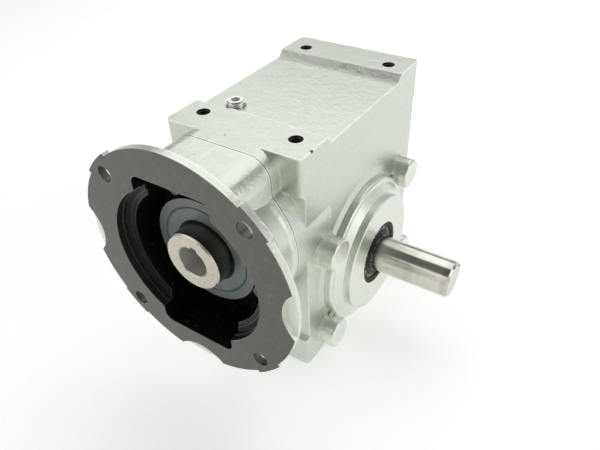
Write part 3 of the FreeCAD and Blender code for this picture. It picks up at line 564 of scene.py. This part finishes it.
def seal_bead(material):
    """The moulded rubber edge that shows as a thin ring round the input seal."""
    low, high = (Vector(corner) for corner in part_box("input_seal_case"))
    centre = Vector((INPUT_AXIS.x, SEAL_FACE_Y, INPUT_AXIS.z))
    thickness = 0.0009
    path = ring_path(centre, (high.x - low.x) / 2 - 0.0004)
    bead = wire_piece("input_seal_bead", [path], thickness, True)
    join_piece(bead, material)


def seal_ticks(material):
    """Small raised bars moulded in the face of the output seal, dusted with paint."""
    mesh = bmesh.new()
    count = 40
    gap_every = 8
    radius = 0.0202
    for index in range(count):
        if index % gap_every in (0, 5):
            continue
        angle = 2 * math.pi * index / count
        spoke = Vector((0.0, math.cos(angle), math.sin(angle)))
        start = Vector((OUTPUT_SEAL_X + 0.01, OUTPUT_AXIS.y, OUTPUT_AXIS.z)) + spoke * radius
        place, normal = surface("output_seal_case", start, Vector((-1.0, 0.0, 0.0)))
        turn = Matrix.Rotation(angle, 4, "X")
        size = Matrix.Diagonal((0.0006, 0.0016 + 0.0005 * (index % 3), 0.0009, 1.0))
        made = bmesh.ops.create_cube(mesh, size=1.0, matrix=Matrix.Translation(place) @ turn @ size)
        edges = {edge for corner in made["verts"] for edge in corner.link_edges}
        bmesh.ops.bevel(mesh, geom=list(edges), offset=0.00015, segments=2, affect="EDGES")
    data = bpy.data.meshes.new("output_seal_ticks")
    mesh.to_mesh(data)
    mesh.free()
    piece = bpy.data.objects.new("output_seal_ticks", data)
    bpy.context.scene.collection.objects.link(piece)
    join_piece(piece, material)


def add_detail():
    oily = plain_metal("oily_steel", (0.06, 0.06, 0.055), (0.14, 0.14, 0.13), 0.35)
    spray = plain_metal("silver_overspray", (0.30, 0.31, 0.29), (0.62, 0.64, 0.60), 0.5, 0.3)
    parting_line(NODES["output_cover"].data.materials[0])
    tapped_threads(oily)
    seal_bead(teal_rubber())
    seal_ticks(spray)


# ---------------------------------------------------------------- studio

CAMERA_PLACE = Vector((0.2036, -0.3074, 0.3547))
CAMERA_RIGHT = Vector((0.83992, 0.54165, -0.03386))
CAMERA_FORWARD = Vector((-0.44120, 0.64517, -0.62377))
CAMERA_LENS = 33.54
WORLD_BAND = 0.12
WORLD_ABOVE = 0.15
FLOOR_GLOW = 0.40


def camera():
    """The camera stands where the flange's bolt circle and the feet's holes say that it stood."""
    data = bpy.data.cameras.new("camera")
    data.lens = CAMERA_LENS
    data.sensor_width = 36.0
    data.clip_start = 0.01
    eye = bpy.data.objects.new("camera", data)
    bpy.context.scene.collection.objects.link(eye)
    back = -CAMERA_FORWARD.normalized()
    right = (CAMERA_RIGHT - back * CAMERA_RIGHT.dot(back)).normalized()
    up = back.cross(right)
    turn = Matrix((right, up, back)).transposed().to_4x4()
    eye.matrix_world = Matrix.Translation(CAMERA_PLACE) @ turn
    bpy.context.scene.camera = eye


def soft_light(name, place, size, power, color=(1.0, 1.0, 1.0)):
    """A rectangular soft light that points at the gearbox."""
    data = bpy.data.lights.new(name, "AREA")
    data.shape = "RECTANGLE"
    data.size, data.size_y = size
    data.energy = power
    data.color = color
    lamp = bpy.data.objects.new(name, data)
    bpy.context.scene.collection.objects.link(lamp)
    lamp.location = place
    aim = Vector((0.0, 0.0, 0.09)) - Vector(place)
    lamp.rotation_euler = aim.to_track_quat("-Z", "Y").to_euler()


def studio():
    """Pale floor, bright overhead light and a dimmer front."""
    bpy.ops.mesh.primitive_plane_add(size=12.0, location=(0.0, 0.0, 0.0))
    floor = bpy.context.object
    floor.name = "floor"
    shader = Shader("floor")
    shade = shader.mix(shader.noise(3.0), (0.92, 0.92, 0.92), (0.95, 0.95, 0.95))
    floor.data.materials.append(shader.finish(base_color=shade, roughness=0.9,
                                              emission_color=(1.0, 1.0, 1.0), emission_strength=FLOOR_GLOW))
    soft_light("overhead", (-0.25, 0.80, 1.15), (1.8, 1.4), 10.5)
    soft_light("right", (1.2, 0.2, 0.7), (0.9, 0.9), 4.0)
    soft_light("front_right", (1.0, -0.8, 0.35), (0.7, 0.5), 1.6)
    soft_light("front_left", (-0.6, -1.0, 0.7), (1.3, 0.9), 4.5)
    world = bpy.data.worlds.new("studio")
    world.use_nodes = True
    bpy.context.scene.world = world
    tree = world.node_tree
    place = tree.nodes.new("ShaderNodeTexCoord")
    split = tree.nodes.new("ShaderNodeSeparateXYZ")
    ramp = tree.nodes.new("ShaderNodeMapRange")
    ramp.inputs["From Min"].default_value = WORLD_BAND
    ramp.inputs["From Max"].default_value = WORLD_BAND * 2
    ramp.inputs["To Min"].default_value = 0.9
    ramp.inputs["To Max"].default_value = WORLD_ABOVE
    tree.links.new(place.outputs["Generated"], split.inputs[0])
    tree.links.new(split.outputs["Z"], ramp.inputs["Value"])
    tree.links.new(ramp.outputs["Result"], tree.nodes["Background"].inputs["Strength"])
    tree.nodes["Background"].inputs["Color"].default_value = (0.95, 0.96, 0.96, 1.0)
    bpy.context.scene.view_settings.view_transform = "Standard"


finish_frame()
for cast_node, cast_round in CAST_ROUNDS.items():
    round_cast_edges(cast_node, cast_round)
add_detail()
camera()
studio()
